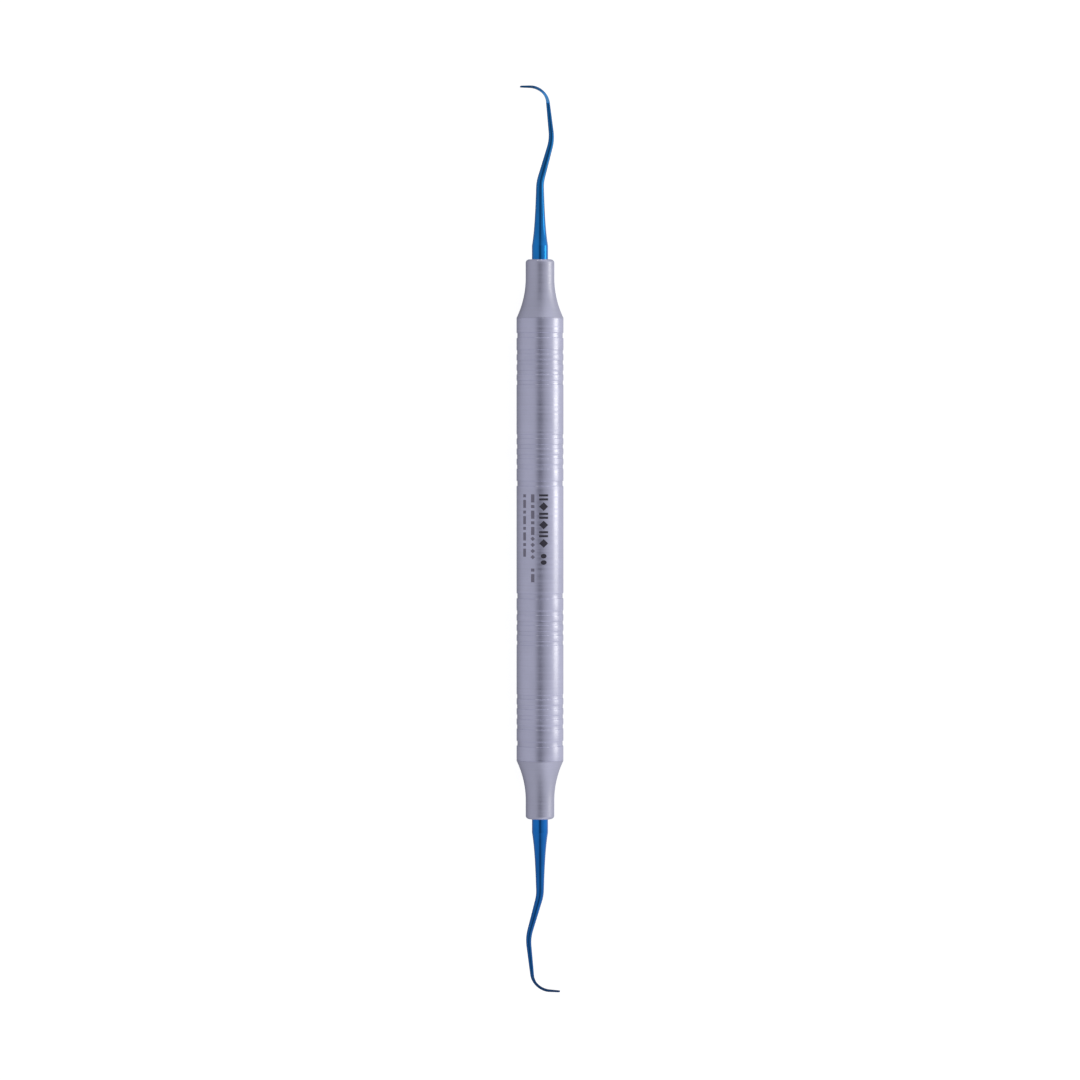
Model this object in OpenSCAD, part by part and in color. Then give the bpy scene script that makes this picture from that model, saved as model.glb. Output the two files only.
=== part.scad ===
// Double-ended hand scaler: a hollow grooved handle with a mirrored pair of sickle ends.
// +X runs along the handle towards the upper working end, whose hook points along +Y. +Z is
// up when the instrument lies on a tray, and the origin is the middle of the handle, on its
// axis. Millimetres.

/* [Barrel] */
// Outer diameter of the barrel tube
barrel_d = 9.3; // [8.8:0.1:10]
// Length of the barrel tube
barrel_len = 87.4; // [84:0.2:96]
// Wall thickness of the barrel tube
barrel_wall = 0.7; // [0.5:0.05:0.9]
// Bevel on each end of the tube, which shows as the seam
seam_bevel = 0.08; // [0.02:0.01:0.15]

/* [Grip grooves] */
// Distance from the middle to the inner lone groove
inner_groove_x = 11.1; // [9:0.1:11.4]
// Distance from the middle to the outer lone groove
outer_groove_x = 40.3; // [39.6:0.1:40.6]
// Distance from a lone groove to the nearest of its four neighbours
lone_gap = 3.3; // [2.6:0.1:3.6]
// Distance between the four neighbours
groove_pitch = 2; // [1.6:0.1:2.1]
// Width of a groove between its lips
groove_w = 0.8; // [0.5:0.05:1]
// Depth of a groove
groove_depth = 0.11; // [0.08:0.01:0.2]
// Width of a lone groove between its lips
lone_groove_w = 1; // [0.8:0.05:1.4]
// Depth of a lone groove
lone_groove_depth = 0.16; // [0.08:0.01:0.25]
// Rounding on both lips of a groove
groove_lip = 0.06; // [0.02:0.01:0.06]

/* [End cones] */
// Length of a cone from the barrel to the end of the handle
cone_len = 11.6; // [11:0.1:14]
// Diameter of the neck at the end of the handle
neck_d = 5.65; // [5.2:0.05:6.2]
// Length of the straight neck
neck_len = 3.6; // [2.6:0.1:4]
// Rounding on the rim of the neck
neck_round = 0.65; // [0.3:0.05:0.9]
// Rounding where the cone meets the barrel
shoulder_round = 0.3; // [0.1:0.05:1.4]
// Length of the spigot pressed into the barrel
spigot_len = 7; // [5:0.5:9]

/* [Working ends] */
// Diameter of the round stock, at the tang and where the shank leaves the handle
stock_d = 3.175; // [2.8:0.025:3.4]
// Length of the tang pressed into the cone
tang_len = 15; // [12:0.5:16]
// Length of the straight collar outside the handle
collar_len = 2.7; // [2:0.1:4]
// Diameter of the shank where the blade starts
heel_d = 0.76; // [0.6:0.02:0.8]
// Width of the blade, from cutting edge to cutting edge
blade_w = 0.76; // [0.6:0.02:0.9]
// Depth of the blade, from face to back
blade_depth = 0.54; // [0.4:0.02:0.6]

/* [Hidden] */

STEEL = [0.66, 0.66, 0.72];
CONE_STEEL = [0.6, 0.6, 0.66];
BLUE = [0.06, 0.36, 0.66];

barrel_r = barrel_d / 2;
bore_r = barrel_r - barrel_wall;
barrel_end = barrel_len / 2;
handle_end = barrel_end + cone_len;
neck_r = neck_d / 2;
stock_r = stock_d / 2;
round_fn = 96;
// Steps of each arc in the turned profiles
lip_steps = 2;
shoulder_steps = 3;
flank_steps = 14;
rim_steps = 7;
taper_steps = 14;

// Lean of a groove's walls, in degrees
groove_draft = 6;

// Grooves from the middle outwards, each [place, width, depth]
set_size = 4;
inner_set_x = inner_groove_x + lone_gap;
outer_set_x = outer_groove_x - lone_gap;
half_grooves = concat(
    [[inner_groove_x, lone_groove_w, lone_groove_depth]],
    [for (i = [0:set_size - 1]) [inner_set_x + i * groove_pitch, groove_w, groove_depth]],
    [for (i = [set_size - 1:-1:0]) [outer_set_x - i * groove_pitch, groove_w, groove_depth]],
    [[outer_groove_x, lone_groove_w, lone_groove_depth]]
);
groove_count = len(half_grooves);
grooves = concat(
    [for (i = [groove_count - 1:-1:0]) let (g = half_grooves[i]) [-g[0], g[1], g[2]]],
    half_grooves
);

// Spigot: lead-in bevel, and a shallow ring groove that holds the retaining compound
spigot_bevel = 0.4;
spigot_ring_w = 1;
spigot_ring_depth = 0.15;
// Blind hole for the tang: room behind the tang, bevelled mouth and drill point
tang_room = 0.3;
hole_depth = tang_len + tang_room;
hole_bevel = 0.12;
half_drill_angle = 59;
drill_point = stock_r / tan(half_drill_angle);

// Tang: bevelled end and rings of serrations that bite in the cone
tang_bevel = 0.35;
serration_pitch = 1;
serration_depth = 0.1;
serration_count = 7;
serration_start = 2;

// Turns of the working end, each [start, length, turn in the hook's plane, turn sideways].
// Distances run along the centreline from the end of the handle, and turns are in degrees.
turns = [
    [14.1, 2.2, -15.7, 0],
    [22.3, 3.2, 21.9, 0],
    [30.85, 5.4, 81, 0],
    [32.35, 5.3, 0, -16]
];
heel_s = 31.1;
toe_s = 38.35;
toe_round = 0.32;
// Shank: a straight taper up to the blade's heel, plus a flare that dies away from the collar
shank_taper = 0.042;
flare_len = 4.2;
flare_d = stock_d - heel_d - shank_taper * (heel_s - collar_len);
// Where the turned stretch of the shank, which is round and straight, hands over to the bent one
straight_end = 13.6;
hand_over = 0.4;
// Blade: its flanks are ground flat from the heel on, and the round section turns into the
// full one, with its face nearer to the centreline, over the forming length
grind_len = 0.2;
forming_len = 2;
face_lift = 0.2;
// How flat the flanks are ground, where the rest keeps them from being knife-sharp at the back
flatness = 0.9;
// Shares of the blade's width and depth that are left, from 0 at the heel to 1 at the toe
width_share = [[0, 1], [0.6, 1], [1, 0.5]];
depth_share = [[0, 1], [0.6, 1], [1, 0.7]];
// Rings of the bent shank, the blade and the toe, and the corners of each ring
shank_rings = 33;
blade_rings = 30;
toe_rings = 7;
ring_sides = 20;

// Points of an arc about [x, y], from angle a to angle b
function arc(x, y, r, a, b, steps) =
    [for (i = [0:steps]) let (t = a + (b - a) * i / steps) [x + r * cos(t), y + r * sin(t)]];

function total(v) = v * [for (x = v) 1];

function share(s, start, length) = max(0, min(1, (s - start) / length));

// Outline of a flat-bottomed groove with steep walls in the barrel's profile, as [radius, place]
function groove_outline(at, w, depth) =
    let (
        lip_x = w / 2 + groove_lip,
        lip_r = barrel_r - groove_lip,
        floor_x = w / 2 - (depth - groove_lip) * tan(groove_draft)
    )
    concat(
        arc(lip_r, at - lip_x, groove_lip, 0, 90, lip_steps),
        [[barrel_r - depth, at - floor_x], [barrel_r - depth, at + floor_x]],
        arc(lip_r, at + lip_x, groove_lip, -90, 0, lip_steps)
    );

// Turns a profile of [radius, place along +X] about the handle's axis
module turned(profile) {
    rotate([0, 90, 0]) rotate_extrude($fn = round_fn) polygon(profile);
}

// The lower end is the upper end turned inside out through the origin, so the pair of blades
// is left- and right-handed
module lower() {
    mirror([1, 0, 0]) mirror([0, 1, 0]) mirror([0, 0, 1]) children();
}

module handle_tube() {
    color(STEEL) turned(concat(
        [[bore_r, -barrel_end], [barrel_r - seam_bevel, -barrel_end]],
        [[barrel_r, seam_bevel - barrel_end]],
        [for (g = grooves) each groove_outline(g[0], g[1], g[2])],
        [[barrel_r, barrel_end - seam_bevel]],
        [[barrel_r - seam_bevel, barrel_end], [bore_r, barrel_end]]
    ));
}

module end_cone() {
    // The flank is a hollow arc from the straight neck to a small round at the shoulder
    rise = cone_len - neck_len;
    drop = barrel_r - neck_r;
    flank_r = (rise * rise + drop * drop) / (2 * drop) - shoulder_round;
    lean = asin(rise / (flank_r + shoulder_round));
    neck_start = handle_end - neck_len;
    ring_x = barrel_end - spigot_len / 2;
    color(CONE_STEEL) turned(concat(
        [[0, barrel_end - spigot_len], [bore_r - spigot_bevel, barrel_end - spigot_len]],
        [[bore_r, barrel_end - spigot_len + spigot_bevel]],
        [[bore_r, ring_x - spigot_ring_w / 2], [bore_r - spigot_ring_depth, ring_x - spigot_ring_w / 2]],
        [[bore_r - spigot_ring_depth, ring_x + spigot_ring_w / 2], [bore_r, ring_x + spigot_ring_w / 2]],
        [[bore_r, barrel_end]],
        arc(barrel_r - shoulder_round, barrel_end, shoulder_round, 0, lean, shoulder_steps),
        arc(neck_r + flank_r, neck_start, flank_r, 180 + lean, 180, flank_steps),
        arc(neck_r - neck_round, handle_end - neck_round, neck_round, 0, 90, rim_steps),
        [[stock_r + hole_bevel, handle_end], [stock_r, handle_end - hole_bevel]],
        [[stock_r, handle_end - hole_depth], [0, handle_end - hole_depth - drill_point]]
    ));
}

// Diameter of the shank at distance s along the centreline
function shank_d(s) =
    heel_d + shank_taper * (heel_s - s) + flare_d * exp((collar_len - s) / flare_len);

// Direction and ring frame at distance s: [along, towards the face, sideways]
function frame(s) =
    let (
        a = total([for (t = turns) t[2] * share(s, t[0], t[1])]),
        b = total([for (t = turns) t[3] * share(s, t[0], t[1])]),
        along = [cos(a) * cos(b), sin(a) * cos(b), sin(b)],
        inner = [-sin(a), cos(a), 0]
    )
    [along, inner, cross(inner, along)];

ring_angles = [for (i = [0:ring_sides - 1]) 360 * i / ring_sides];

// One ring of the bent shank, in its own plane, as [towards the face, sideways]
function shank_ring(s) = [for (a = ring_angles) shank_d(s) / 2 * [cos(a), sin(a)]];

// One ring of the blade: a flat face, and two flanks that meet at the back
function blade_ring(s) =
    let (
        t = share(s, heel_s, toe_s - heel_s),
        formed = share(s, heel_s, forming_len),
        flat = flatness * share(s, heel_s, grind_len),
        half_w = (heel_d + (blade_w - heel_d) * formed) / 2 * lookup(t, width_share),
        depth = (heel_d + (blade_depth - heel_d) * formed) * lookup(t, depth_share),
        face = depth * (0.5 + (face_lift - 0.5) * formed),
        end = share(s, toe_start, toe_round),
        shrink = sqrt(1 - end * end)
    )
    [
        for (a = ring_angles)
            let (
                towards_back = max(0, 1 - abs(a - 180) / 90),
                across = towards_back > 0 ? sign(180 - a) * (1 - towards_back) : sin(a),
                round_point = [min((depth - face) * cos(a), face), half_w * sin(a)],
                flat_point = [face - depth * towards_back, half_w * across]
            )
            shrink * (round_point * (1 - flat) + flat_point * flat)
    ];

function ring(s) = s > heel_s ? blade_ring(s) : shank_ring(s);

// Where the rings stand: closer together along the blade, and closest round the toe
bent_start = straight_end - hand_over;
heel_lead = 0.2;
blade_start = heel_s - heel_lead;
toe_start = toe_s - toe_round;
ring_places = concat(
    [for (i = [0:shank_rings - 1]) bent_start + i * (blade_start - bent_start) / shank_rings],
    [for (i = [0:blade_rings - 1]) blade_start + i * (toe_start - blade_start) / blade_rings],
    [for (i = [0:toe_rings - 1]) toe_start + toe_round * sin(90 * i / toe_rings)]
);
ring_count = len(ring_places);

// Centreline points, walked from ring to ring
function ring_step(s0, s1) = (s1 - s0) * frame((s0 + s1) / 2)[0];
centreline = [
    for (
        i = 0, p = [ring_places[0], 0, 0];
        i < ring_count;
        p = i + 1 < ring_count ? p + ring_step(ring_places[i], ring_places[i + 1]) : p,
        i = i + 1
    ) p
];

module bent_shank_and_blade() {
    points = [
        for (i = [0:ring_count - 1])
            let (f = frame(ring_places[i]))
            for (q = ring(ring_places[i])) centreline[i] + q[0] * f[1] + q[1] * f[2]
    ];
    sides = [
        for (i = [0:ring_count - 2], j = [0:ring_sides - 1])
            let (
                a = i * ring_sides + j,
                b = i * ring_sides + (j + 1) % ring_sides
            )
            each [[a, b, b + ring_sides], [a, b + ring_sides, a + ring_sides]]
    ];
    last = (ring_count - 1) * ring_sides;
    caps = [
        [for (j = [ring_sides - 1:-1:0]) j],
        [for (j = [0:ring_sides - 1]) last + j]
    ];
    translate([handle_end, 0, 0]) polyhedron(points, concat(sides, caps));
}

module turned_shank() {
    first = handle_end - tang_len;
    turned(concat(
        [[0, first], [stock_r - tang_bevel, first], [stock_r, first + tang_bevel]],
        [
            for (i = [0:serration_count - 1])
                let (x = first + serration_start + i * serration_pitch)
                each [
                    [stock_r, x],
                    [stock_r - serration_depth, x + serration_pitch / 4],
                    [stock_r, x + serration_pitch / 2]
                ]
        ],
        [[stock_r, handle_end + collar_len]],
        [
            for (i = [1:taper_steps])
                let (s = collar_len + (straight_end - collar_len) * i / taper_steps)
                [shank_d(s) / 2, handle_end + s]
        ],
        [[0, handle_end + straight_end]]
    ));
}

module working_end() {
    color(BLUE) union() {
        turned_shank();
        bent_shank_and_blade();
    }
}

handle_tube();
end_cone();  // upper_cone
lower() end_cone();  // lower_cone
working_end();  // upper_working_end
lower() working_end();  // lower_working_end
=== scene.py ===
"""Looks of a double-ended hand scaler: turned satin steel handle, blue-coated working ends.

Lengths are in metres, in the frame of the CAD model: +X along the handle, +Z up.
"""

import math

import bpy
from mathutils import Matrix, Vector


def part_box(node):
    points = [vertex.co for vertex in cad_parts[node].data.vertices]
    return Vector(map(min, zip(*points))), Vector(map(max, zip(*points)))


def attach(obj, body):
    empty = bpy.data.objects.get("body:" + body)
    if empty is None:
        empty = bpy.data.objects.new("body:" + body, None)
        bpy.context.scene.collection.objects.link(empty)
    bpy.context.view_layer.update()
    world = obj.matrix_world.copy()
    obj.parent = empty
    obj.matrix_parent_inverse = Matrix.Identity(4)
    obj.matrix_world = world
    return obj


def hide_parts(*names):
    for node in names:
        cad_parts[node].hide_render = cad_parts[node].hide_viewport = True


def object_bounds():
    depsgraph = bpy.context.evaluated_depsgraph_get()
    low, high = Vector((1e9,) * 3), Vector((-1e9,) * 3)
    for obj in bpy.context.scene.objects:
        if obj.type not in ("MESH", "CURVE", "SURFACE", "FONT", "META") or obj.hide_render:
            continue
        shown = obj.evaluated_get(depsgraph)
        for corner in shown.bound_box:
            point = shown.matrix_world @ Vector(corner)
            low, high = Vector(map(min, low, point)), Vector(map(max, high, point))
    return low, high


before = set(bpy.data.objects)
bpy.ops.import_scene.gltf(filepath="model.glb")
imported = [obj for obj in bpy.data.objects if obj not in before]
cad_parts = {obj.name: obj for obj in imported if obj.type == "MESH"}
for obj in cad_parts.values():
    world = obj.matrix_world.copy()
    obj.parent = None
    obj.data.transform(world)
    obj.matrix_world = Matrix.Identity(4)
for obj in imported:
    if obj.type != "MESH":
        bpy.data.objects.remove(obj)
cad_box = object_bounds()

MM = 0.001

# ---------------------------------------------------------------- sizes, from the frame

tube_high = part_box("handle_tube")[1]
cone_low, cone_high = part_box("upper_cone")
tip_low, tip_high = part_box("upper_working_end")
BARREL_R = tube_high.z
BARREL_END = tube_high.x
HANDLE_END = cone_high.x
SPIGOT_END = cone_low.x
TANG_END = tip_low.x
TIP_END = tip_high.x
FLOOR_Z = cad_box[0].z

# The barrel stops this far short of its full radius, and the marks fill the difference
MARK_RISE = 0.008 * MM
BORE_R = 3.95 * MM
SEAM_BEVEL = 0.08 * MM

# Grip grooves: two lone ones a side and two sets of four between them
INNER_GROOVE = 11.1 * MM
OUTER_GROOVE = 40.3 * MM
LONE_GAP = 3.3 * MM
SET_SIZE = 4
GROOVE_PITCH = 2 * MM
GROOVE_WIDTH = 0.8 * MM
GROOVE_DEPTH = 0.11 * MM
LONE_GROOVE_WIDTH = 1 * MM
LONE_GROOVE_DEPTH = 0.16 * MM
GROOVE_LIP = 0.06 * MM
GROOVE_FILLET = 0.04 * MM
GROOVE_DRAFT = math.radians(6)

# End cones
NECK_R = 2.825 * MM
NECK_LEN = 3.6 * MM
NECK_ROUND = 0.65 * MM
SHOULDER_ROUND = 0.3 * MM
SPIGOT_BEVEL = 0.4 * MM
HOLE_BEVEL = 0.12 * MM
HOLE_ROOM = 0.3 * MM
DRILL_POINT_ANGLE = math.radians(59)

# Working ends: round stock, tang, and a shank that tapers into the blade
STOCK_R = 1.5875 * MM
TANG_BEVEL = 0.35 * MM
SERRATIONS = 7
SERRATION_PITCH = 1 * MM
SERRATION_START = 2 * MM
SERRATION_DEPTH = 0.1 * MM
COLLAR_LEN = 2.7 * MM
HEEL_D = 0.76 * MM
SHANK_TAPER = 0.042
FLARE_LEN = 4.2 * MM
HEEL_S = 31.1 * MM
TOE_S = 38.35 * MM
TOE_ROUND = 0.32 * MM
BLADE_W = 0.76 * MM
BLADE_DEPTH = 0.54 * MM
# The flanks are ground flat from the heel on, and the section is full after the forming length
GRIND_LEN = 0.2 * MM
FORMING_LEN = 2 * MM
# The face's height above the centreline as a share of the depth, and how flat the flanks are ground
FACE_LIFT = 0.2
FLATNESS = 0.9

# Turns of the working end: start and length along the centreline from the end of the handle
# in mm, then the turn in the hook's plane and the turn sideways in degrees
TURNS = (
    (14.1, 2.2, -15.7, 0),
    (22.3, 3.2, 21.9, 0),
    (30.85, 5.4, 81, 0),
    (32.35, 5.3, 0, -16),
)
# Shares of the blade's width and depth that are left, from heel (0) to toe (1)
WIDTH_SHARE = ((0, 1), (0.6, 1), (1, 0.5))
DEPTH_SHARE = ((0, 1), (0.6, 1), (1, 0.7))

# Painted shade on the blue film of each end, as brightness at distances from the end of the handle in
# mm: it darkens along the shank and the hook, and the rise at the upper heel is a painted highlight
UPPER_SHADE_AND_HIGHLIGHT = (
    (0, 1), (3, 1), (11, 0.75), (20, 0.6), (30.6, 0.6), (31.1, 0.95), (32.6, 0.8), (33.4, 0.33),
)
LOWER_PAINTED_SHADE = (
    (0, 1), (3, 0.95), (11, 0.78), (20, 0.66), (30.6, 0.55), (31.3, 0.4), (33.4, 0.26),
)
# How far the film is made paler, from 0 to 1, at the same distances: on the upper heel this is a
# painted highlight, and the lower end pales slightly towards the toe
UPPER_HEEL_HIGHLIGHT = ((0, 0), (30.9, 0), (31.1, 0.75), (32.4, 0.5), (33.2, 0.1), (33.4, 0.1))
LOWER_PALING = ((0, 0), (33.4, 0.05))

LATHE_SIDES = 160
SWEEP_SIDES = 48
# Steps of each arc in the turned profiles
LIP_STEPS = 5
SEAM_STEPS = 3
SEAM_TURN = math.radians(60)
SHOULDER_STEPS = 8
FLANK_STEPS = 24
RIM_STEPS = 12
# Rings of a working end: one each side of the collar's edge, then the shank, the blade and the toe
COLLAR_EDGE = 0.03 * MM
BLADE_LEAD = 0.3 * MM
SHANK_RINGS = 110
BLADE_RINGS = 90
TOE_RINGS = 15
TOE_TURN = math.radians(6)
# A mark's skin starts this far under the barrel's surface and has this many rows of faces
MARK_FOOT = 5 * MARK_RISE
MARK_ROWS = 12
# Share of its half height at which a lozenge or disc is cut off, so that no edge has zero length
MARK_TRIM = 0.98
SECTION_ANGLES = [2 * math.pi * i / SWEEP_SIDES for i in range(SWEEP_SIDES)]
SMOOTH_ANGLE = math.radians(32)


# ---------------------------------------------------------------- small helpers


def between(x, table):
    """The value at x in a table of (x, value) pairs, in straight steps, level past its ends."""
    for (x0, y0), (x1, y1) in zip(table, table[1:]):
        if x <= x1:
            return y0 + (y1 - y0) * max(0, (x - x0) / (x1 - x0))
    return table[-1][1]


def share(s, start, length):
    """How much of the stretch from start lies before s, from 0 to 1."""
    return max(0, min(1, (s - start) / length))


def arc(x, r, radius, first, last, steps):
    """Points of an arc about (x, r) in a lathe profile. Angles are from outward to +X."""
    points = []
    for i in range(steps + 1):
        t = first + (last - first) * i / steps
        points.append((x + radius * math.sin(t), r + radius * math.cos(t)))
    return points


def placed(name, data):
    """A new object in the scene, with this mesh, light or camera as its data."""
    thing = bpy.data.objects.new(name, data)
    bpy.context.scene.collection.objects.link(thing)
    return thing


def mesh_piece(name, points, faces, replaced, slot, material):
    """One visual piece of the instrument. It replaces a CAD node, or adds to them."""
    mesh = bpy.data.meshes.new(name)
    mesh.from_pydata(points, [], faces)
    mesh.validate()
    mesh.polygons.foreach_set("use_smooth", [True] * len(mesh.polygons))
    mesh.set_sharp_from_angle(angle=SMOOTH_ANGLE)
    mesh.materials.append(material)
    piece = placed(name, mesh)
    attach(piece, "root")
    if replaced:
        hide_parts(replaced)
    return piece


def lower(points):
    """The lower end is the upper one turned inside out through the middle of the handle."""
    return [(-x, -y, -z) for x, y, z in points]


def turned_over(faces):
    return [tuple(reversed(face)) for face in faces]


def lathe(profile, sides):
    """Points and faces of a closed profile of (x, radius) turned about X. Radius 0 is a pole."""
    points, rings = [], []
    for x, r in profile:
        if r == 0:
            rings.append([len(points)] * sides)
            points.append((x, 0, 0))
            continue
        rings.append(list(range(len(points), len(points) + sides)))
        for i in range(sides):
            t = 2 * math.pi * i / sides
            points.append((x, -r * math.sin(t), r * math.cos(t)))
    faces = []
    for a, b in zip(rings, rings[1:] + rings[:1]):
        for i in range(sides):
            j = (i + 1) % sides
            corners = dict.fromkeys((a[i], a[j], b[j], b[i]))
            if len(corners) > 2:
                faces.append(tuple(corners))
    return points, faces


# ---------------------------------------------------------------- the handle


def groove(at, width, depth):
    """A flat-bottomed groove with steep walls, rounded lips and filleted corners."""
    top = BARREL_R - MARK_RISE
    wall = math.pi / 2 - GROOVE_DRAFT
    both = GROOVE_LIP + GROOVE_FILLET
    lip_x = width / 2 + GROOVE_LIP
    lip_r = top - GROOVE_LIP
    fillet_x = lip_x - both * math.sin(wall) - (depth - both * (1 - math.cos(wall))) / math.tan(wall)
    fillet_r = top - depth + GROOVE_FILLET
    profile = arc(at - lip_x, lip_r, GROOVE_LIP, 0, wall, LIP_STEPS)
    profile += arc(at - fillet_x, fillet_r, GROOVE_FILLET, math.pi + wall, math.pi, LIP_STEPS)
    profile += arc(at + fillet_x, fillet_r, GROOVE_FILLET, math.pi, math.pi - wall, LIP_STEPS)
    return profile + arc(at + lip_x, lip_r, GROOVE_LIP, -wall, 0, LIP_STEPS)


def barrel_profile():
    steps_out = [i * GROOVE_PITCH for i in range(SET_SIZE)]
    places = [INNER_GROOVE + LONE_GAP + step for step in steps_out]
    places += [OUTER_GROOVE - LONE_GAP - step for step in reversed(steps_out)]
    half = [(INNER_GROOVE, LONE_GROOVE_WIDTH, LONE_GROOVE_DEPTH)]
    half += [(place, GROOVE_WIDTH, GROOVE_DEPTH) for place in places]
    half += [(OUTER_GROOVE, LONE_GROOVE_WIDTH, LONE_GROOVE_DEPTH)]
    top = BARREL_R - MARK_RISE
    profile = [(-BARREL_END, BORE_R), (-BARREL_END, top - SEAM_BEVEL)]
    seam_x = BARREL_END - SEAM_BEVEL
    profile += arc(-seam_x, top - SEAM_BEVEL, SEAM_BEVEL, -SEAM_TURN, 0, SEAM_STEPS)
    for at, width, depth in [(-at, width, depth) for at, width, depth in reversed(half)] + half:
        profile += groove(at, width, depth)
    profile += arc(seam_x, top - SEAM_BEVEL, SEAM_BEVEL, 0, SEAM_TURN, SEAM_STEPS)
    profile += [(BARREL_END, top - SEAM_BEVEL), (BARREL_END, BORE_R)]
    return profile


def cone_profile():
    rise = HANDLE_END - BARREL_END - NECK_LEN
    drop = BARREL_R - NECK_R
    flank_r = (rise**2 + drop**2) / (2 * drop) - SHOULDER_ROUND
    lean = math.asin(rise / (flank_r + SHOULDER_ROUND))
    neck_start = HANDLE_END - NECK_LEN
    hole_end = TANG_END - HOLE_ROOM
    profile = [(SPIGOT_END, 0), (SPIGOT_END, BORE_R - SPIGOT_BEVEL)]
    profile += [(SPIGOT_END + SPIGOT_BEVEL, BORE_R), (BARREL_END, BORE_R)]
    shoulder_r = BARREL_R - SHOULDER_ROUND
    profile += arc(BARREL_END, shoulder_r, SHOULDER_ROUND, 0, lean, SHOULDER_STEPS)
    flank = arc(neck_start, NECK_R + flank_r, flank_r, math.pi + lean, math.pi, FLANK_STEPS)
    profile += flank[1:]
    rim_x, rim_r = HANDLE_END - NECK_ROUND, NECK_R - NECK_ROUND
    profile += arc(rim_x, rim_r, NECK_ROUND, 0, math.pi / 2, RIM_STEPS)
    profile += [(HANDLE_END, STOCK_R + HOLE_BEVEL), (HANDLE_END - HOLE_BEVEL, STOCK_R)]
    profile += [(hole_end, STOCK_R), (hole_end - STOCK_R / math.tan(DRILL_POINT_ANGLE), 0)]
    return profile


# ---------------------------------------------------------------- the working ends


def shank_d(s):
    """Diameter at distance s: a straight taper, plus a flare that dies away from the collar."""
    flare_d = 2 * STOCK_R - HEEL_D - SHANK_TAPER * (HEEL_S - COLLAR_LEN)
    return HEEL_D + SHANK_TAPER * (HEEL_S - s) + flare_d * math.exp((COLLAR_LEN - s) / FLARE_LEN)


def direction(s):
    """Along the centreline, towards the blade's face, and sideways, at distance s."""
    turn = sum(t[2] * share(s, t[0] * MM, t[1] * MM) for t in TURNS)
    sweep = sum(t[3] * share(s, t[0] * MM, t[1] * MM) for t in TURNS)
    a, b = math.radians(turn), math.radians(sweep)
    along = Vector((math.cos(a) * math.cos(b), math.sin(a) * math.cos(b), math.sin(b)))
    inner = Vector((-math.sin(a), math.cos(a), 0))
    return along, inner, inner.cross(along)


def shank_section(s):
    """The outline of the collar or shank at distance s, as (towards the face, sideways)."""
    r = STOCK_R if s < COLLAR_LEN else shank_d(s) / 2
    return [(r * math.cos(a), r * math.sin(a)) for a in SECTION_ANGLES]


def blade_section(s):
    """The outline of the blade at distance s: a flat face, and two flanks that meet at the back."""
    t = share(s, HEEL_S, TOE_S - HEEL_S)
    formed = share(s, HEEL_S, FORMING_LEN)
    flat = FLATNESS * share(s, HEEL_S, GRIND_LEN)
    half_w = (HEEL_D + (BLADE_W - HEEL_D) * formed) / 2 * between(t, WIDTH_SHARE)
    depth = (HEEL_D + (BLADE_DEPTH - HEEL_D) * formed) * between(t, DEPTH_SHARE)
    face = depth * (0.5 + (FACE_LIFT - 0.5) * formed)
    end = share(s, TOE_S - TOE_ROUND, TOE_ROUND)
    shrink = math.sqrt(1 - end**2)
    outline = []
    for a in SECTION_ANGLES:
        towards_back = max(0, 1 - abs(a - math.pi) / (math.pi / 2))
        across = math.sin(a)
        if towards_back > 0:
            across = math.copysign(1 - towards_back, math.pi - a)
        p = (1 - flat) * min((depth - face) * math.cos(a), face) + flat * (face - depth * towards_back)
        q = half_w * ((1 - flat) * math.sin(a) + flat * across)
        outline.append((shrink * p, shrink * q))
    return outline


def section(s):
    return blade_section(s) if s > HEEL_S else shank_section(s)


def steps(first, last, count):
    """Evenly spaced places from first up to, and without, last."""
    return [first + (last - first) * i / count for i in range(count)]


def tang_rings():
    """(x, radius) along the tang, from its hidden end to the handle's end."""
    rings = [(TANG_END, STOCK_R - TANG_BEVEL), (TANG_END + TANG_BEVEL, STOCK_R)]
    for i in range(SERRATIONS):
        x = TANG_END + SERRATION_START + i * SERRATION_PITCH
        rings += [(x, STOCK_R), (x + SERRATION_PITCH / 4, STOCK_R - SERRATION_DEPTH)]
        rings += [(x + SERRATION_PITCH / 2, STOCK_R)]
    return rings


def working_end():
    """Points and faces of tang, shank and blade as one closed skin."""
    blade_start = HEEL_S - BLADE_LEAD
    toe_start = TOE_S - TOE_ROUND
    places = [0, COLLAR_LEN - COLLAR_EDGE, COLLAR_LEN]
    places += steps(COLLAR_LEN + COLLAR_EDGE, blade_start, SHANK_RINGS)
    places += steps(blade_start, toe_start, BLADE_RINGS)
    places += [toe_start + TOE_ROUND * math.sin(TOE_TURN * i) for i in range(TOE_RINGS)]
    points = []
    for x, r in tang_rings():
        for i in range(SWEEP_SIDES):
            t = 2 * math.pi * i / SWEEP_SIDES
            points.append((x, r * math.cos(t), -r * math.sin(t)))
    centre, last_s = Vector((HANDLE_END, 0, 0)), 0
    for s in places:
        centre = centre + (s - last_s) * direction((s + last_s) / 2)[0]
        last_s = s
        face, side = direction(s)[1:]
        if s <= COLLAR_LEN:
            face, side = Vector((0, 1, 0)), Vector((0, 0, -1))
        points += [tuple(centre + p * face + q * side) for p, q in section(s)]
    rings = len(points) // SWEEP_SIDES
    faces = []
    for k in range(rings - 1):
        for i in range(SWEEP_SIDES):
            a, b = k * SWEEP_SIDES + i, k * SWEEP_SIDES + (i + 1) % SWEEP_SIDES
            faces.append((a, b, b + SWEEP_SIDES, a + SWEEP_SIDES))
    last = (rings - 1) * SWEEP_SIDES
    faces.append(tuple(range(SWEEP_SIDES - 1, -1, -1)))
    faces.append(tuple(range(last, last + SWEEP_SIDES)))
    return points, faces


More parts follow.
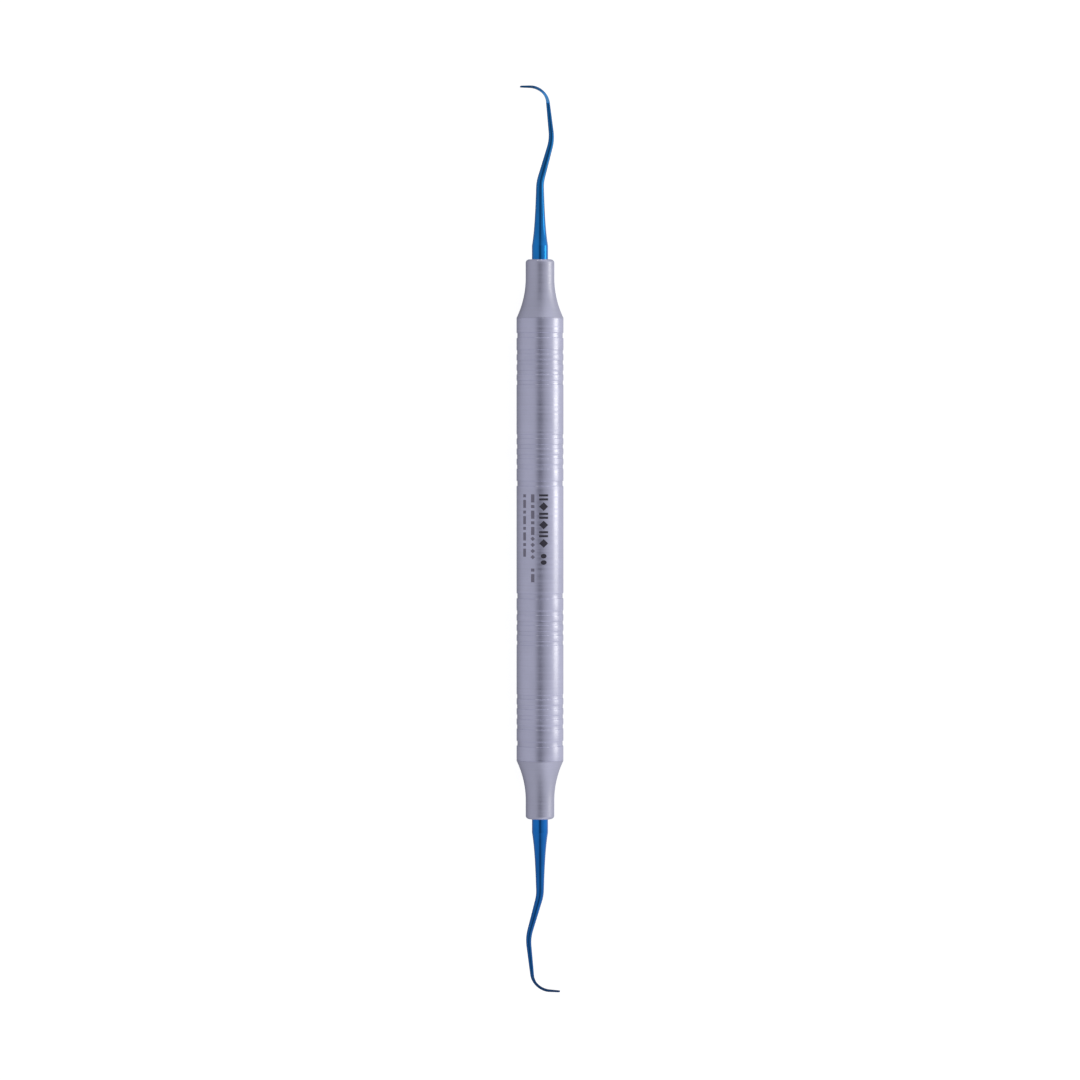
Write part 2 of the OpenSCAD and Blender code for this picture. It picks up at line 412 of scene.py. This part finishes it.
# ---------------------------------------------------------------- materials


def new_material(name):
    material = bpy.data.materials.new(name)
    material.use_nodes = True
    tree = material.node_tree
    return material, tree, tree.nodes["Principled BSDF"]


def add(tree, kind, inputs=None, **settings):
    """Adds a node. An input is a plain value or the socket that feeds it."""
    node = tree.nodes.new(kind)
    for name, value in settings.items():
        setattr(node, name, value)
    for name, value in (inputs or {}).items():
        if isinstance(value, bpy.types.NodeSocket):
            tree.links.new(value, node.inputs[name])
        else:
            node.inputs[name].default_value = value
    return node


def noise(tree, stretch, detail=3, roughness=0.6):
    """Noise whose cells are 1 / stretch metres along X, Y and Z."""
    place = add(tree, "ShaderNodeTexCoord").outputs["Object"]
    mapped = add(tree, "ShaderNodeMapping", {"Vector": place, "Scale": stretch})
    grain = add(
        tree,
        "ShaderNodeTexNoise",
        {"Vector": mapped.outputs["Vector"], "Scale": 1, "Detail": detail, "Roughness": roughness},
    )
    return grain.outputs["Fac"]


def colour_ramp(tree, value, stops):
    """A colour that runs through stops, each (position from 0 to 1, colour)."""
    node = add(tree, "ShaderNodeValToRGB", {"Fac": value})
    elements = node.color_ramp.elements
    for _ in stops[2:]:
        elements.new(0.5)
    for element, (position, colour) in zip(elements, stops):
        element.position = position
        element.color = (*colour, 1)
    return node.outputs["Color"]


def ramp(tree, value, low, high, colour_low, colour_high):
    """A colour that goes from colour_low at value low to colour_high at value high."""
    return colour_ramp(tree, value, ((low, colour_low), (high, colour_high)))


def map_range(tree, value, low, high, to_low=0, to_high=1, **settings):
    """Maps low to high onto to_low to to_high."""
    limits = {"From Min": low, "From Max": high, "To Min": to_low, "To Max": to_high}
    node = add(tree, "ShaderNodeMapRange", {"Value": value, **limits}, **settings)
    return node.outputs["Result"]


def maths(tree, operation, *values):
    """The result of one operation on values, each a number or a socket."""
    node = add(tree, "ShaderNodeMath", dict(enumerate(values)), operation=operation)
    return node.outputs["Value"]


def spread(tree, value, low, high):
    """Maps noise, which mostly stays between 0.3 and 0.7, onto low to high."""
    return map_range(tree, value, 0.3, 0.7, low, high)


def mix(tree, amount, first, second, blend="MIX"):
    """The first colour, blended with the second by amount."""
    node = add(tree, "ShaderNodeMix", data_type="RGBA", blend_type=blend)
    sockets = {"Factor": amount, "A": first, "B": second}
    for name, value in sockets.items():
        kind = "VALUE" if name == "Factor" else "RGBA"
        socket = [s for s in node.inputs if s.name == name and s.type == kind][0]
        if isinstance(value, bpy.types.NodeSocket):
            tree.links.new(value, socket)
        else:
            socket.default_value = value if name == "Factor" else (*value, 1)
    return [s for s in node.outputs if s.type == "RGBA"][0]


def edges(tree, low, high):
    """0 on smooth faces, 1 on sharp outer edges."""
    pointiness = add(tree, "ShaderNodeNewGeometry").outputs["Pointiness"]
    return map_range(tree, pointiness, low, high)


def bump(tree, shader, height, depth):
    """Raises the surface by up to depth where height is 1."""
    node = add(tree, "ShaderNodeBump", {"Height": height, "Strength": 1, "Distance": depth})
    tree.links.new(node.outputs["Normal"], shader.inputs["Normal"])


def turned_steel(name, pale, deep, rough_low, rough_high):
    """Satin steel with the fine rings that a lathe leaves around X."""
    material, tree, shader = new_material(name)
    rings = noise(tree, (7000, 120, 120), detail=4)
    bands = noise(tree, (2200, 25, 25), detail=3, roughness=0.7)
    clouds = noise(tree, (160, 220, 220), detail=3)
    tone = ramp(tree, clouds, 0.35, 0.65, deep, pale)
    tone = mix(tree, 0.6, tone, ramp(tree, bands, 0.32, 0.68, deep, pale))
    tone = mix(tree, 0.3, tone, ramp(tree, rings, 0.3, 0.7, deep, pale))
    # Painted highlight: lighter on sharp outer edges, such as the groove lips
    tone = mix(tree, edges(tree, 0.53, 0.57), tone, (0.88, 0.88, 0.98))
    tree.links.new(tone, shader.inputs["Base Color"])
    rough_bands = spread(tree, bands, rough_low, rough_high)
    rough = maths(tree, "ADD", rough_bands, spread(tree, rings, -0.03, 0.03))
    tree.links.new(rough, shader.inputs["Roughness"])
    shader.inputs["Metallic"].default_value = 1
    shader.inputs["Anisotropic"].default_value = 0.4
    shader.inputs["Anisotropic Rotation"].default_value = 0.25
    tangent = add(tree, "ShaderNodeTangent", direction_type="RADIAL", axis="X")
    tree.links.new(tangent.outputs["Tangent"], shader.inputs["Tangent"])
    bump(tree, shader, maths(tree, "ADD", rings, bands), 0.0016 * MM)
    return material


def along_tip(tree, table):
    """A grey that follows a table of (mm from the end of the handle, brightness)."""
    place = add(tree, "ShaderNodeTexCoord").outputs["Object"]
    x = add(tree, "ShaderNodeSeparateXYZ", {"Vector": place}).outputs["X"]
    part = map_range(tree, maths(tree, "ABSOLUTE", x), HANDLE_END, TIP_END)
    reach = TIP_END - HANDLE_END
    stops = [(distance * MM / reach, (tone, tone, tone)) for distance, tone in table]
    return colour_ramp(tree, part, stops)


def blue_coating(name, pale, deep, film_painted_light, film_paling):
    """Polished steel under a thin hard blue film, paler where highlights are painted on and darker
    where shade is painted along the tip.
    """
    material, tree, shader = new_material(name)
    clouds = noise(tree, (260, 420, 420), detail=3)
    rings = noise(tree, (5200, 240, 240), detail=3)
    tone = ramp(tree, clouds, 0.35, 0.65, deep, pale)
    # Painted highlight: paler on sharp outer edges
    tone = mix(tree, edges(tree, 0.56, 0.7), tone, (0.16, 0.42, 0.72))
    # Painted highlight on the upper heel; on the lower end a slight paling towards the toe
    tone = mix(tree, along_tip(tree, film_paling), tone, (0.12, 0.36, 0.66))
    # Painted shade: darker along the shank and the hook, with a painted highlight at the upper heel
    tone = mix(tree, 1.0, tone, along_tip(tree, film_painted_light), "MULTIPLY")
    tree.links.new(tone, shader.inputs["Base Color"])
    rough_clouds = spread(tree, clouds, 0.12, 0.15)
    rough = maths(tree, "ADD", rough_clouds, spread(tree, rings, -0.01, 0.01))
    tree.links.new(rough, shader.inputs["Roughness"])
    shader.inputs["Metallic"].default_value = 1
    shader.inputs["Coat Weight"].default_value = 0.3
    shader.inputs["Coat Roughness"].default_value = 0.08
    bump(tree, shader, rings, 0.0002 * MM)
    return material


def laser_mark(name, pale, deep):
    """The dull oxide that a marking laser leaves on steel."""
    material, tree, shader = new_material(name)
    specks = noise(tree, (9000, 9000, 9000), detail=2)
    rings = noise(tree, (7000, 120, 120), detail=4)
    tone = ramp(tree, specks, 0.3, 0.7, deep, pale)
    tree.links.new(tone, shader.inputs["Base Color"])
    tree.links.new(spread(tree, rings, 0.45, 0.6), shader.inputs["Roughness"])
    shader.inputs["Metallic"].default_value = 0.5
    bump(tree, shader, specks, 0.001 * MM)
    return material


def paper(name):
    """Pale studio paper that glows a little, as on a light table."""
    material, tree, shader = new_material(name)
    fibres = noise(tree, (400, 400, 400), detail=3)
    tree.links.new(
        ramp(tree, fibres, 0.3, 0.7, (0.5, 0.5, 0.5), (0.52, 0.52, 0.52)),
        shader.inputs["Base Color"],
    )
    shader.inputs["Roughness"].default_value = 1
    shader.inputs["Specular IOR Level"].default_value = 0
    shader.inputs["Emission Color"].default_value = (1, 1, 1, 1)
    shader.inputs["Emission Strength"].default_value = 0.8
    return material


# ---------------------------------------------------------------- laser marks


# Half length of a mark's outline, as a share, at t from -1 to 1 across it


def bar(t):
    return 1


def lozenge(t):
    return 1 - abs(t)


def disc(t):
    return math.sqrt(1 - t * t)


def mark_skin(x, angle, length, height, shape, points, faces):
    """One mark, length along X by height around the barrel, as a thin closed curved plate."""
    first = len(points)
    base_r = BARREL_R - MARK_FOOT
    for i in range(MARK_ROWS + 1):
        t = (2 * i / MARK_ROWS - 1) * (1 if shape is bar else MARK_TRIM)
        a = angle + t * height / 2 / BARREL_R
        half = length / 2 * shape(t)
        for dx, r in ((-half, base_r), (half, base_r), (half, BARREL_R), (-half, BARREL_R)):
            points.append((x + dx, -r * math.sin(a), r * math.cos(a)))
    for i in range(MARK_ROWS):
        for k in range(4):
            a, b = first + 4 * i + k, first + 4 * i + (k + 1) % 4
            faces.append((a, b, b + 4, a + 4))
    end = first + 4 * MARK_ROWS
    faces.append((first + 3, first + 2, first + 1, first))
    faces.append((end, end + 1, end + 2, end + 3))


def mark_row(start, angle, height, gap, marks):
    """A row of marks, each (shape, length in mm), that runs from start towards -X."""
    points, faces, x = [], [], start
    for shape, length_mm in marks:
        length = length_mm * MM
        mark_skin(x - length / 2, angle, length, height, shape, points, faces)
        x -= length + gap
    return points, faces


def joined(parts):
    """Several (points, faces) as one."""
    points, faces = [], []
    for part_points, part_faces in parts:
        first = len(points)
        points += part_points
        faces += [tuple(i + first for i in face) for face in part_faces]
    return points, faces


def make_marks():
    """Three rows of plain marks that spell nothing, on the plain band: bold, middle and far."""
    bold_angle, middle_angle, far_angle = (math.radians(a) for a in (9, -18, -41))
    row_start, small, small_gap = 9 * MM, 0.7 * MM, 0.5 * MM
    thin, dash, dot = (bar, 0.42), (bar, 1.6), (bar, 0.6)
    bold = mark_row(row_start, bold_angle, 1.8 * MM, 0.36 * MM, [thin, thin, (lozenge, 1.7)] * 3)
    spots = mark_row(-2.7 * MM, bold_angle, 1.2 * MM, 0.35 * MM, [(disc, 0.9)] * 2)
    dashes = mark_row(row_start, middle_angle, small, small_gap, [dash, dot] * 2 + [dash])
    lozenges = mark_row(0.7 * MM, middle_angle, 0.95 * MM, 0.3 * MM, [(lozenge, 0.9)] * 4)
    last = mark_row(-5.6 * MM, middle_angle, small, small_gap, [dot, dash])
    far = mark_row(row_start, far_angle, small, small_gap, [dot, dash] * 4)
    dark = laser_mark("mark_dark", (0.07, 0.065, 0.09), (0.045, 0.04, 0.06))
    light = laser_mark("mark_light", (0.27, 0.255, 0.34), (0.2, 0.19, 0.26))
    mesh_piece("marks_dark", *joined([bold, spots]), None, "barrel_steel", dark)
    mesh_piece("marks_light", *joined([dashes, lozenges, last, far]), None, "barrel_steel", light)


# ---------------------------------------------------------------- stage, lights and camera


def make_stage():
    """A pale sweep: a flat floor under the instrument that curves up into a wall all round."""
    floor_r, bend_r, wall_top = 2.2, 0.9, 4
    bend_steps = 16
    profile = [(FLOOR_Z, 0), (FLOOR_Z, 0.5 * floor_r)]
    for i in range(bend_steps + 1):
        t = math.pi / 2 * i / bend_steps
        profile.append((FLOOR_Z + bend_r * (1 - math.cos(t)), floor_r + bend_r * math.sin(t)))
    profile.append((wall_top, floor_r + bend_r))
    sides = 96
    points, faces = [(0, 0, FLOOR_Z)], []
    for z, r in profile[1:]:
        for i in range(sides):
            t = 2 * math.pi * i / sides
            points.append((r * math.cos(t), r * math.sin(t), z))
    for i in range(sides):
        faces.append((0, 1 + i, 1 + (i + 1) % sides))
        for k in range(len(profile) - 2):
            a, b = 1 + k * sides + i, 1 + k * sides + (i + 1) % sides
            faces.append((a, a + sides, b + sides, b))
    mesh = bpy.data.meshes.new("studio_sweep")
    mesh.from_pydata(points, [], faces)
    mesh.polygons.foreach_set("use_smooth", [True] * len(mesh.polygons))
    mesh.materials.append(paper("pale_paper"))
    sweep = placed("studio_sweep", mesh)
    sweep.visible_glossy = False
    sweep.visible_diffuse = False
    sweep.visible_shadow = False


# Brightness of the light tent round the handle, at angles from overhead towards -Y in degrees:
# as seen square to the handle, and as seen far along it. Both are shares of TENT_STRENGTH, and
# TENT_BLUE is added to their blue.
TENT_STRENGTH = 1.2
TENT_BLUE = 0.015
TENT_SQUARE = (
    (-180, 0.2), (-140, 0.25), (-100, 0.44), (-60, 0.48), (-24, 0.46), (-10, 0.2), (1, 0.06),
    (10, 0.19), (20, 0.32), (40, 0.46), (62, 0.59), (76, 0.65), (100, 0.63), (140, 0.62), (180, 0.3),
)
TENT_ALONG = (
    (-180, 0.4), (-100, 0.46), (-20, 0.5), (0, 0.58), (35, 0.84), (60, 1), (90, 0.72), (180, 0.4),
)


def tent_ramp(tree, turn, table):
    """The tent's brightness at turn, which goes from 0 at -180 degrees to 1 at 180."""
    stops = [((angle + 180) / 360, (level, level, level + TENT_BLUE)) for angle, level in table]
    return colour_ramp(tree, turn, stops)


def make_tent():
    """A light tent: dim overhead, where the camera's hole is, and brightest on the -Y side."""
    world = bpy.data.worlds.new("tent")
    world.use_nodes = True
    bpy.context.scene.world = world
    tree = world.node_tree
    way = add(tree, "ShaderNodeTexCoord").outputs["Generated"]
    parts = add(tree, "ShaderNodeSeparateXYZ", {"Vector": way}).outputs
    angle = maths(tree, "ARCTAN2", maths(tree, "MULTIPLY", parts["Y"], -1), parts["Z"])
    turn = map_range(tree, angle, -math.pi, math.pi)
    along = maths(tree, "ABSOLUTE", parts["X"])
    far = map_range(tree, along, 0.2, 0.95, interpolation_type="SMOOTHSTEP")
    light = mix(tree, far, tent_ramp(tree, turn, TENT_SQUARE), tent_ramp(tree, turn, TENT_ALONG))
    background = tree.nodes["Background"]
    tree.links.new(light, background.inputs["Color"])
    background.inputs["Strength"].default_value = TENT_STRENGTH


def make_strip():
    """A strip light parallel to the handle, which lights its upper half most."""
    angle, distance = math.radians(86), 0.6
    first_x, last_x, width, radiance = -0.04, 0.18, 0.26, 1.85
    length = last_x - first_x
    data = bpy.data.lights.new("strip", "AREA")
    data.shape = "RECTANGLE"
    data.size, data.size_y = length, width
    data.energy = radiance * math.pi * length * width
    data.color = (1, 0.98, 0.72)
    lamp = placed("strip", data)
    away = Vector((0, -math.sin(angle), math.cos(angle)))
    middle = Vector(((first_x + last_x) / 2, 0, 0))
    axes = Matrix((Vector((1, 0, 0)), away.cross(Vector((1, 0, 0))), away)).transposed()
    lamp.matrix_world = Matrix.Translation(middle + away * distance) @ axes.to_4x4()
    lamp.visible_camera = False


def make_camera():
    """Looks down on the instrument from a little towards its upper end."""
    distance, tilt, frame_width = 0.85, math.radians(1.3), 0.2135
    target = Vector((-0.08 * MM, 0, 0))
    back = Vector((math.sin(tilt), 0, math.cos(tilt)))
    right = Vector((0, -1, 0))
    up = back.cross(right)
    data = bpy.data.cameras.new("camera")
    data.lens = data.sensor_width * distance / frame_width
    camera = placed("camera", data)
    axes = Matrix((right, up, back)).transposed().to_4x4()
    camera.matrix_world = Matrix.Translation(target + back * distance) @ axes
    bpy.context.scene.camera = camera


# ---------------------------------------------------------------- the whole scene


def make_instrument():
    # The blue-violet cast in these steel colours is the studio light's tint, painted in; the steel
    # itself is neutral grey
    barrel_steel = turned_steel(
        "barrel_steel", (0.64, 0.645, 0.835), (0.53, 0.535, 0.695), 0.28, 0.48
    )
    cone_steel = turned_steel("cone_steel", (0.56, 0.565, 0.715), (0.47, 0.475, 0.605), 0.36, 0.54)
    upper_blue = blue_coating(
        "blue_upper", (0.009, 0.25, 0.74), (0.005, 0.2, 0.62), UPPER_SHADE_AND_HIGHLIGHT, UPPER_HEEL_HIGHLIGHT
    )
    lower_blue = blue_coating(
        "blue_lower", (0.007, 0.205, 0.7), (0.004, 0.165, 0.59), LOWER_PAINTED_SHADE, LOWER_PALING
    )
    points, faces = lathe(barrel_profile(), LATHE_SIDES)
    mesh_piece("barrel", points, faces, "handle_tube", "barrel_steel", barrel_steel)
    points, faces = lathe(cone_profile(), LATHE_SIDES)
    mesh_piece("cone_upper", points, faces, "upper_cone", "cone_steel", cone_steel)
    mesh_piece(
        "cone_lower", lower(points), turned_over(faces), "lower_cone", "cone_steel", cone_steel
    )
    points, faces = working_end()
    mesh_piece("tip_upper", points, faces, "upper_working_end", "blue_coating", upper_blue)
    points, faces = lower(points), turned_over(faces)
    mesh_piece("tip_lower", points, faces, "lower_working_end", "blue_coating", lower_blue)
    make_marks()


make_camera()
make_stage()
make_tent()
make_strip()
make_instrument()
bpy.context.scene.view_settings.view_transform = "Standard"
